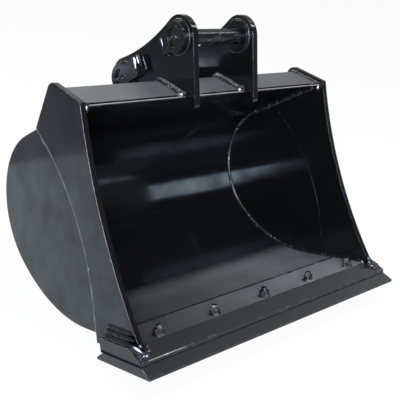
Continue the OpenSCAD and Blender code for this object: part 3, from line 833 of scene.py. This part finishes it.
class BUCKET_OT_ears(bpy.types.Operator):
    """Gives the ears, bosses, stops and retainer plates their enamel"""
    bl_idname = "bucket.ears"
    bl_label = "Ears and bosses"

    def execute(self, context):
        names = ["left_ear", "right_ear", *BOSSES, "front_pin_stop", "rear_pin_stop",
                 "front_retainer_plate", "rear_retainer_plate"]
        dress(names, context.scene.bucket_enamel.corner_round)
        return {"FINISHED"}


class BUCKET_OT_pins(bpy.types.Operator):
    """Gives the hinge pins their scuffed enamel"""
    bl_idname = "bucket.pins"
    bl_label = "Hinge pins"

    def execute(self, context):
        dress(["front_pin", "rear_pin"], context.scene.bucket_enamel.corner_round)
        return {"FINISHED"}


def loop_points(points):
    """[point, normal] pairs of a small loop beside the upper end of the seam."""
    steps = 8
    height = 12
    start = 0.5
    reach = 3
    loop = []
    for i in range(steps + 1):
        t = i / steps
        k, part = divmod(start + reach * t, 1)
        p, n = points[-1 - int(k)]
        at = p.lerp(points[-2 - int(k)][0], part)
        loop.append((at + n * height * math.sin(math.pi * t), n))
    return loop


def raised_path(side, points, behind, before, drop=0):
    """Path of a crowned bead over the cheek's rear edge, behind and before it."""
    rise = SHELL - SIDE_FACE - drop
    return [(place(side * (SIDE_FACE + 1), p), along(side * (rise - 0.8), -n * before),
             along(-side * 1.2, n * behind)) for p, n in points]


class BUCKET_OT_seam_welds(bpy.types.Operator):
    """Lays the beads along the step between each cheek and its side plate"""
    bl_idname = "bucket.seam_welds"
    bl_label = "Seam welds"

    def execute(self, context):
        leg = context.scene.bucket_beads.seam_leg / MM
        foot = Vector((SEAM_Y, LIP_TOP - WRAPPER_T))
        points = [(foot, Vector((1, 0)))] + arc_points(SEAM_C, SEAM_R, 180, SEAM_END, True)
        loop = loop_points(points)
        for side, name in zip(SIDES, SIDE_NAMES):
            bm = bmesh.new()
            add_bead(bm, raised_path(side, points, leg, 4.5), 1.7 + side, rough=0.5, swell=0.35, crown=2.2)
            add_bead(bm, raised_path(side, loop, 4, 3, 5), 3.9 + side, rough=0.5, crown=1.2)
            piece(name + "_seam_bead", bm, nodes=[name + "_seam_weld"], look="seam_highlight_enamel")
        return {"FINISHED"}


class BUCKET_OT_inner_welds(bpy.types.Operator):
    """Lays the beads inside the bucket, along the lip, the belly, the back and the roof"""
    bl_idname = "bucket.inner_welds"
    bl_label = "Inner welds"

    def execute(self, context):
        leg = context.scene.bucket_beads.inner_leg / MM
        under_box = BOX_FRONT_TOP - (BOX_T + leg) * BOX_UP
        roof_front = meet(under_box, HORN_SLOPE, ROOF_IN, 180 - ROOF_SLOPE)
        points = [(Vector((LIP_FLAT + leg, LIP_TOP)), Vector((0, 1)))]
        points += arc_points(BELLY_C, BELLY_R, -90, BELLY_ARC - 90, True)
        points += arc_points(BACK_C, BACK_R, BELLY_ARC - 90, 90 - ROOF_SLOPE, True)[1:]
        points.append((roof_front, -ROOF_UP))
        for side, name in zip(SIDES, SIDE_NAMES):
            bm = bmesh.new()
            add_bead(bm, plane_path(side * WALL, points, -side * leg, leg), 5.3 + side)
            piece(name + "_inner_bead", bm, nodes=[name + "_inner_weld"], look="inner_bead_enamel")
        return {"FINISHED"}


def add_bar_crowns(bm):
    """Two hammered flats along the rear stop bar and a worn corner on the front one."""
    axis = place(-EAR_OUT - REAR_STOP_R + 2, REAR_PIN - REAR_STOP_AT * PIN_RUN)
    for k, (angle, width, crown) in enumerate(((12, 6.5, 0.8), (50, 3.2, 0.5))):
        a = math.radians(angle)
        out = along(-math.cos(a), -math.sin(a) * PIN_RUN) * (REAR_STOP_R - 0.4)
        add_blob(bm, axis + out, along(0, PIN_UP), (21, width, crown), 97.3 + k, STOP_LEAN)
    corner = place(-EAR_OUT - FRONT_STOP + 0.8, FRONT_PIN + (FRONT_FLAG + 4.2) * PIN_RUN + 2 * PIN_UP)
    add_blob(bm, corner, along(0, PIN_UP), STOP_BLOB, 99.9, STOP_LEAN)


def add_stop_beads(bm):
    """Beads at the ends and along the far side of the front stop, and along one side of the rear one."""
    half = STOP_LEN / 2
    leg = 5
    start = FRONT_PIN + (FRONT_FLAG + 1) * PIN_RUN
    far = FRONT_PIN + (FRONT_FLAG + FRONT_STOP) * PIN_RUN
    rear = REAR_PIN - (REAR_STOP_AT + 7.2) * PIN_RUN
    for side in SIDES:
        out = side * PIN_UP
        end = [(start + half * out, out), (far + half * out, out)]
        add_bead(bm, plane_path(-EAR_OUT, end, -leg, leg), 33.1 + side)
    run = [(far + (half - 2) * PIN_UP, PIN_RUN), (far - (half - 2) * PIN_UP, PIN_RUN)]
    add_bead(bm, plane_path(-EAR_OUT, run, -leg, leg), 31.4)
    run = [(rear + (half - 3) * PIN_UP, -PIN_RUN), (rear - (half - 3) * PIN_UP, -PIN_RUN)]
    add_bead(bm, plane_path(-EAR_OUT, run, -6, 7), 36.8)


class BUCKET_OT_ear_welds(bpy.types.Operator):
    """Lays the beads round the ears, the bosses and the pin stops"""
    bl_idname = "bucket.ear_welds"
    bl_label = "Ear, boss and stop welds"

    def execute(self, context):
        leg = context.scene.bucket_beads.ear_leg / MM
        front = over_box(BOX_FRONT_TOP, leg)
        back = [(BOX_FOOT - leg * ROOF_RUN, ROOF_UP), (EAR_FOOT + 3 * ROOF_RUN, ROOF_UP)]
        faces = ((-EAR_OUT, -1), (-EAR_IN, 1), (EAR_IN, -1), (EAR_OUT, 1))
        bm = bmesh.new()
        for i, (x, way) in enumerate(faces):
            add_bead(bm, plane_path(x, front, way * leg, leg), 11.2 + i, rough=1.8, coarse=1.3, swell=0.7)
            add_bead(bm, plane_path(x, back, way * leg * 0.8, leg * 0.8), 15.6 + i)
            end = place(x + way * 13, BOX_FRONT_TOP + 7 * BOX_RUN + 4 * BOX_UP)
            add_blob(bm, end, along(0, BOX_UP), EAR_BLOB, 91.7 + i)
        piece("ear_beads", bm, nodes=["ear_welds"], look="worn_bead_enamel")
        bm = bmesh.new()
        boss_leg = 5
        legs = ((-EAR_OUT, -3.6), (-EAR_IN, boss_leg), (EAR_IN, -boss_leg), (EAR_OUT, boss_leg))
        for i, pin in enumerate((FRONT_PIN, REAR_PIN)):
            ring = arc_points(pin, BOSS_R, 0, 360, False)
            for x, leg_x in legs:
                path = plane_path(x, ring, leg_x, boss_leg)
                add_bead(bm, path, 21.5 + i + x * 0.01, closed=True, rough=0.8)
        piece("boss_beads", bm)
        bm = bmesh.new()
        add_stop_beads(bm)
        piece("stop_beads", bm)
        bm = bmesh.new()
        add_bar_crowns(bm)
        piece("stop_bar_crowns", bm, look="lump_enamel")
        return {"FINISHED"}


def add_end_passes(bm, side, leg):
    """Three passes one over the other, from the lip's end up the cheek."""
    passes = 3
    sink_out = 5
    sink_up = 2.5
    corners = []
    for k in range(passes + 1):
        t = k / passes
        corners.append((leg * (1 - t), LIP_WELD_RISE * t))
    for k in range(passes):
        (out_low, up_low), (out_high, up_high) = corners[k:k + 2]
        out_mid = (out_low + out_high) / 2 - sink_out
        up_mid = (up_low + up_high) / 2 - sink_up
        path = []
        for y in (LIP_FLAT - 6 + 5 * k, LIP_REAR - 1 - 2 * k):
            root = place(side * (SHELL + out_mid), Vector((y, LIP_TOP + up_mid)))
            low = along(side * (out_low - out_mid), Vector((0, up_low - up_mid)))
            high = along(side * (out_high - out_mid), Vector((0, up_high - up_mid)))
            path.append((root, low, high))
        add_bead(bm, path, 41.2 + side + 3 * k, rough=1.2, coarse=1.5, crown=0.9, taper=4)


def add_foot_lumps(bm, side):
    """Lumps and blobs at a cheek's foot, by x, place on the lip's bevel, height over it and size."""
    lumps = ((WALL - 4, 18, -8, 8), (WALL + 6, 3, -18, 9), (SHELL - 3, 4, -15, 8),
             (SHELL + 8, 20, -19, 10))
    blobs = ((SHELL + 8, 3, 2, 22, 10), (SHELL - 4, 14, 6, 8, 5))
    lean = BLOB_LEAN
    if side > 0:
        blobs = ((WALL + 4, -4, 3, 13, 5), (WALL - 1, 8, 10, 10, 4.5), (WALL - 2, 16, 19, 9, 4),
                 (WALL - 14, 22, 3, 9, 4))
        lean = RIGHT_FOOT_LEAN
    for k, (x, s, up, length, width) in enumerate(blobs):
        centre = place(side * x, FOOT_ON_BEVEL + s * BEVEL_RUN + up * BEVEL_UP)
        add_blob(bm, centre, along(0, BEVEL_RUN), (length, width, 2), 81.5 + side + 2 * k, lean)
    sink = 3
    rise = along(0, BEVEL_UP * 3.5)
    for k, (x, high, low, half) in enumerate(lumps):
        path = []
        for s in (high, (high + low) / 2, low):
            root = FOOT_ON_BEVEL + s * BEVEL_RUN - sink * BEVEL_UP
            path.append((place(side * x, root), sideways(-half) + rise, sideways(half) + rise))
        add_bead(bm, path, 48.3 + side + 2 * k, rough=1.5, coarse=2.2, crown=2.2)


class BUCKET_OT_lip_welds(bpy.types.Operator):
    """Lays the passes on the lip's ends, the lumps at the cheeks' feet and the beads behind the lip"""
    bl_idname = "bucket.lip_welds"
    bl_label = "Lip welds"

    def execute(self, context):
        leg = context.scene.bucket_beads.lip_leg / MM
        bm = bmesh.new()
        for side in SIDES:
            add_end_passes(bm, side, leg)
        piece("lip_end_beads", bm, nodes=["lip_end_welds"], look="pass_enamel")
        bm = bmesh.new()
        for side in SIDES:
            add_foot_lumps(bm, side)
        piece("cheek_foot_beads", bm, look="lump_enamel")
        bm = bmesh.new()
        across = (-WALL + 1, WALL - 1)
        under_leg = 11
        under = Vector((LIP_REAR, LIP_TOP - WRAPPER_T))
        path = cross_path(under, across, Vector((under_leg, 0)), Vector((0, -under_leg)))
        add_bead(bm, path, 52.7, coarse=1.3)
        sink = 5
        half = 7
        joint = Vector((LIP_REAR, LIP_TOP - sink))
        path = cross_path(joint, across, Vector((-half, sink)), Vector((half, sink)))
        add_bead(bm, path, 55.2, rough=0.6, crown=0.6)
        piece("lip_rear_beads", bm)
        return {"FINISHED"}


def span_beads(root, leg_a, leg_b, seed, **shape):
    """Beads across the bucket in the three spans between the horns and the ears."""
    bm = bmesh.new()
    for i, span in enumerate(BOX_SPANS):
        add_bead(bm, cross_path(root, span, leg_a, leg_b), seed + i, **shape)
    return bm


class BUCKET_OT_shell_welds(bpy.types.Operator):
    """Lays the beads between the torque box, the horns and the roof, and along the box's front corner"""
    bl_idname = "bucket.shell_welds"
    bl_label = "Torque box welds"

    def execute(self, context):
        over = over_box(BOX_FRONT_TOP + 2 * BOX_RUN, BOX_LEG)
        bm = bmesh.new()
        for side in SIDES:
            add_bead(bm, plane_path(side * WALL, over, -side * BOX_LEG, BOX_LEG), 61.3 + side)
            corner = place(side * (WALL - 6), BOX_FRONT_TOP - 6 * BOX_UP)
            add_blob(bm, corner, along(0, BOX_UP), CORNER_BLOB, 95.4 + side)
        piece("horn_beads", bm)
        foot_leg = 9
        bm = span_beads(BOX_FOOT, -ROOF_RUN * foot_leg, BOX_RISE * foot_leg, 66.1)
        piece("box_foot_beads", bm)
        roof_tip = meet(ROOF_IN, 180 - ROOF_SLOPE, Vector((BOX_FRONT, 0)), 90)
        root = (BOX_FRONT_TOP + roof_tip) / 2 + Vector((5, 0))
        bm = span_beads(root, BOX_FRONT_TOP - root, roof_tip - root, 71.8, rough=1.3, coarse=1.3, crown=1.6)
        piece("box_front_beads", bm)
        # Pale bead along the box's front corner, partly a painted highlight line
        inner = BOX_FRONT_TOP + 2.5 * BOX_RUN - 2.5 * BOX_UP
        bm = span_beads(inner, 3 * BOX_UP, Vector((-3.6, 0)), 76.4, rough=0.9, crown=1.2)
        piece("box_corner_highlight_beads", bm, look="worn_and_highlight_enamel")
        return {"FINISHED"}


def seen_rays(tree):
    """Masks of the rays from the camera and from reflections, and of those from reflections alone."""
    rays = added(tree, "LightPath").outputs
    return maths(tree, "MAXIMUM", rays["Is Camera Ray"], rays["Is Glossy Ray"]), rays["Is Glossy Ray"]


def add_floor(props):
    """Pale floor under the heel and the belly."""
    gap = 0.0005
    bm = bmesh.new()
    bmesh.ops.create_grid(bm, x_segments=4, y_segments=4, size=12)
    for v in bm.verts:
        v.co.z = CAD_BOX[0].z - gap
    floor = meshed("floor", bm)
    material, tree, shader = new_material("pale_floor")
    where = added(tree, "TexCoord").outputs["Object"]
    grain = maths(tree, "MULTIPLY", noise_of(tree, where, 40, 3), 0.02)
    pale = blended(tree, grain, tuple(props.floor_colour), (0.85, 0.85, 0.85))
    fed(tree, shader, {"Base Color": pale, "Roughness": 0.9, "Specular IOR Level": 0.1})
    seen, mirrored = seen_rays(tree)
    tint = blended(tree, mirrored, (1.0, 1.0, 1.0), (0.82, 0.92, 0.98))
    white = added(tree, "Emission", {"Color": tint})
    share = maths(tree, "MULTIPLY", seen, 0.94)
    both = added(tree, "MixShader", {0: share, 1: shader.outputs[0], 2: white.outputs[0]})
    fed(tree, tree.nodes["Material Output"], {"Surface": both.outputs[0]})
    floor.data.materials.append(material)


def add_room(context, props):
    """White room, at full strength for the camera and for reflections, and softer as light."""
    world = bpy.data.worlds.new("white_room")
    world.use_nodes = True
    context.scene.world = world
    tree = world.node_tree
    seen, _ = seen_rays(tree)
    strength = scaled(tree, seen, 1 - props.fill, props.fill)
    fed(tree, tree.nodes["Background"], {"Color": (1, 1, 1, 1), "Strength": strength})


def add_lamp(name, spot, target, size, power, colour=(1, 1, 1)):
    """Soft rectangular lamp at a spot that looks at target."""
    data = bpy.data.lights.new(name, "AREA")
    data.shape = "RECTANGLE"
    data.size, data.size_y = size
    data.energy = power
    data.color = colour
    lamp = linked(name, data)
    lamp.location = spot
    lamp.rotation_euler = (Vector(target) - Vector(spot)).to_track_quat("-Z", "Y").to_euler()
    return lamp


def add_lamps(props):
    """Key lamp behind the camera, a window round it for reflections, two lamps above and one behind."""
    key = (-3.42, -4.07, 1.94)
    middle = (0.3, 0, -0.4)
    add_lamp("key_lamp", key, middle, (1.48, 1.16), props.key_power, (0.94, 0.97, 1))
    window = add_lamp("window_lamp", key, middle, (1.9, 2.1), props.window_power, (0.7, 0.81, 1))
    window.visible_diffuse = False
    add_lamp("ceiling_lamp", (1.3, -1.0, 2.6), (1.3, 0, -0.3), (3.4, 0.35), props.ceiling_power)
    add_lamp("ear_lamp", (0.2, -1.4, 2.3), (0, 0, 0), (0.7, 0.7), props.ear_power)
    add_lamp("rear_lamp", (-0.75, 2.7, 2.5), (0, 0, -0.3), (0.9, 0.9), props.rear_power)


def add_card(name, outline, low, high, shades, axis="Z", tint=(1, 1, 1)):
    """Card that only reflections show, graded in shade along an axis."""
    bm = bmesh.new()
    foot = [bm.verts.new((x, y, low)) for x, y in outline]
    head = [bm.verts.new((x, y, high)) for x, y in outline]
    for i in range(len(outline) - 1):
        bm.faces.new((foot[i], foot[i + 1], head[i + 1], head[i]))
    card = meshed(name, bm)
    for rays in ("camera", "diffuse", "shadow", "transmission", "volume_scatter"):
        setattr(card, "visible_" + rays, False)
    material, tree, _ = new_material(name)
    where = added(tree, "TexCoord").outputs["Generated"]
    ramp = added(tree, "ValToRGB", {"Fac": axis_of(tree, where, axis)})
    for at, shade in shades[2:]:
        ramp.color_ramp.elements.new(at)
    for stop, (at, shade) in zip(ramp.color_ramp.elements, shades):
        stop.position = at
        stop.color = (*[shade * part for part in tint], 1)
    glow = added(tree, "Emission", {"Color": ramp.outputs["Color"]})
    fed(tree, tree.nodes["Material Output"], {"Surface": glow.outputs[0]})
    card.data.materials.append(material)


def add_cards():
    """Dark card round the front, graded cards behind on both sides, and a strip for the right ear."""
    floor_z = CAD_BOX[0].z
    radius = 8
    front = [radius * ray(angle) for angle in range(-255, 1, 5)]
    add_card("front_card", front, floor_z + 0.02, 12, ((0.0, 0.2), (0.6, 0.05)))
    add_card("left_card", ((-3.2, 0.93), (-0.5, 0.93)), floor_z, 1.2, ((0.0, 0.46), (0.25, 0.26)),
             tint=(0.9, 1, 1.12))
    add_card("ear_card", ((-0.76, 0.92), (-0.58, 0.92)), -0.355, -0.324, ((0.0, 0.5), (0.7, 4.0)),
             axis="X", tint=(0.85, 0.95, 1.2))
    add_card("right_card", ((0.1, 2.2), (9, 2.2)), floor_z, 7,
             ((0.1, 0.8), (0.28, 0.3), (0.4, 0.25), (0.65, 0.55)), axis="X")


def add_camera(context, props):
    """Camera at the bucket's front left."""
    data = bpy.data.cameras.new("camera")
    data.sensor_width = 36
    data.lens = props.focal_length
    data.clip_start = 0.01
    camera = linked("camera", data)
    camera.location = props.camera_place
    camera.rotation_euler = Euler(props.camera_turn, "XYZ")
    context.scene.camera = camera


class BUCKET_OT_stage(bpy.types.Operator):
    """Sets the floor, the room, the lamps, the cards for reflections and the camera"""
    bl_idname = "bucket.stage"
    bl_label = "Stage"

    def execute(self, context):
        props = context.scene.bucket_stage
        context.scene.view_settings.view_transform = "Standard"
        add_floor(props)
        add_room(context, props)
        add_lamps(props)
        add_cards()
        add_camera(context, props)
        return {"FINISHED"}


OPERATORS = (BUCKET_OT_plates, BUCKET_OT_edge, BUCKET_OT_fasteners, BUCKET_OT_ears, BUCKET_OT_pins,
             BUCKET_OT_seam_welds, BUCKET_OT_inner_welds, BUCKET_OT_ear_welds, BUCKET_OT_lip_welds,
             BUCKET_OT_shell_welds, BUCKET_OT_stage)
PROPS = {
    "bucket_enamel": EnamelProps,
    "bucket_beads": BeadProps,
    "bucket_fasteners": FastenerProps,
    "bucket_stage": StageProps,
}


class BUCKET_PT_pieces(bpy.types.Panel):
    """Lists the bucket's pieces and their settings"""
    bl_idname = "BUCKET_PT_pieces"
    bl_label = "Ditch-cleaning bucket"
    bl_space_type = "VIEW_3D"
    bl_region_type = "UI"
    bl_category = "Bucket"

    def draw(self, context):
        for name, group in PROPS.items():
            box = self.layout.box()
            for label in group.__annotations__:
                box.prop(getattr(context.scene, name), label)
        for operator in OPERATORS:
            self.layout.operator(operator.bl_idname)


def register():
    for label, group in PROPS.items():
        bpy.utils.register_class(group)
        setattr(bpy.types.Scene, label, bpy.props.PointerProperty(type=group))
    for operator in OPERATORS:
        bpy.utils.register_class(operator)
    bpy.utils.register_class(BUCKET_PT_pieces)


def unregister():
    bpy.utils.unregister_class(BUCKET_PT_pieces)
    for operator in reversed(OPERATORS):
        bpy.utils.unregister_class(operator)
    for label, group in PROPS.items():
        delattr(bpy.types.Scene, label)
        bpy.utils.unregister_class(group)


def main():
    register()
    bpy.ops.bucket.plates()
    bpy.ops.bucket.edge()
    bpy.ops.bucket.fasteners()
    bpy.ops.bucket.ears()
    bpy.ops.bucket.pins()
    bpy.ops.bucket.seam_welds()
    bpy.ops.bucket.inner_welds()
    bpy.ops.bucket.ear_welds()
    bpy.ops.bucket.lip_welds()
    bpy.ops.bucket.shell_welds()
    bpy.ops.bucket.stage()


if __name__ == "__main__":
    main()
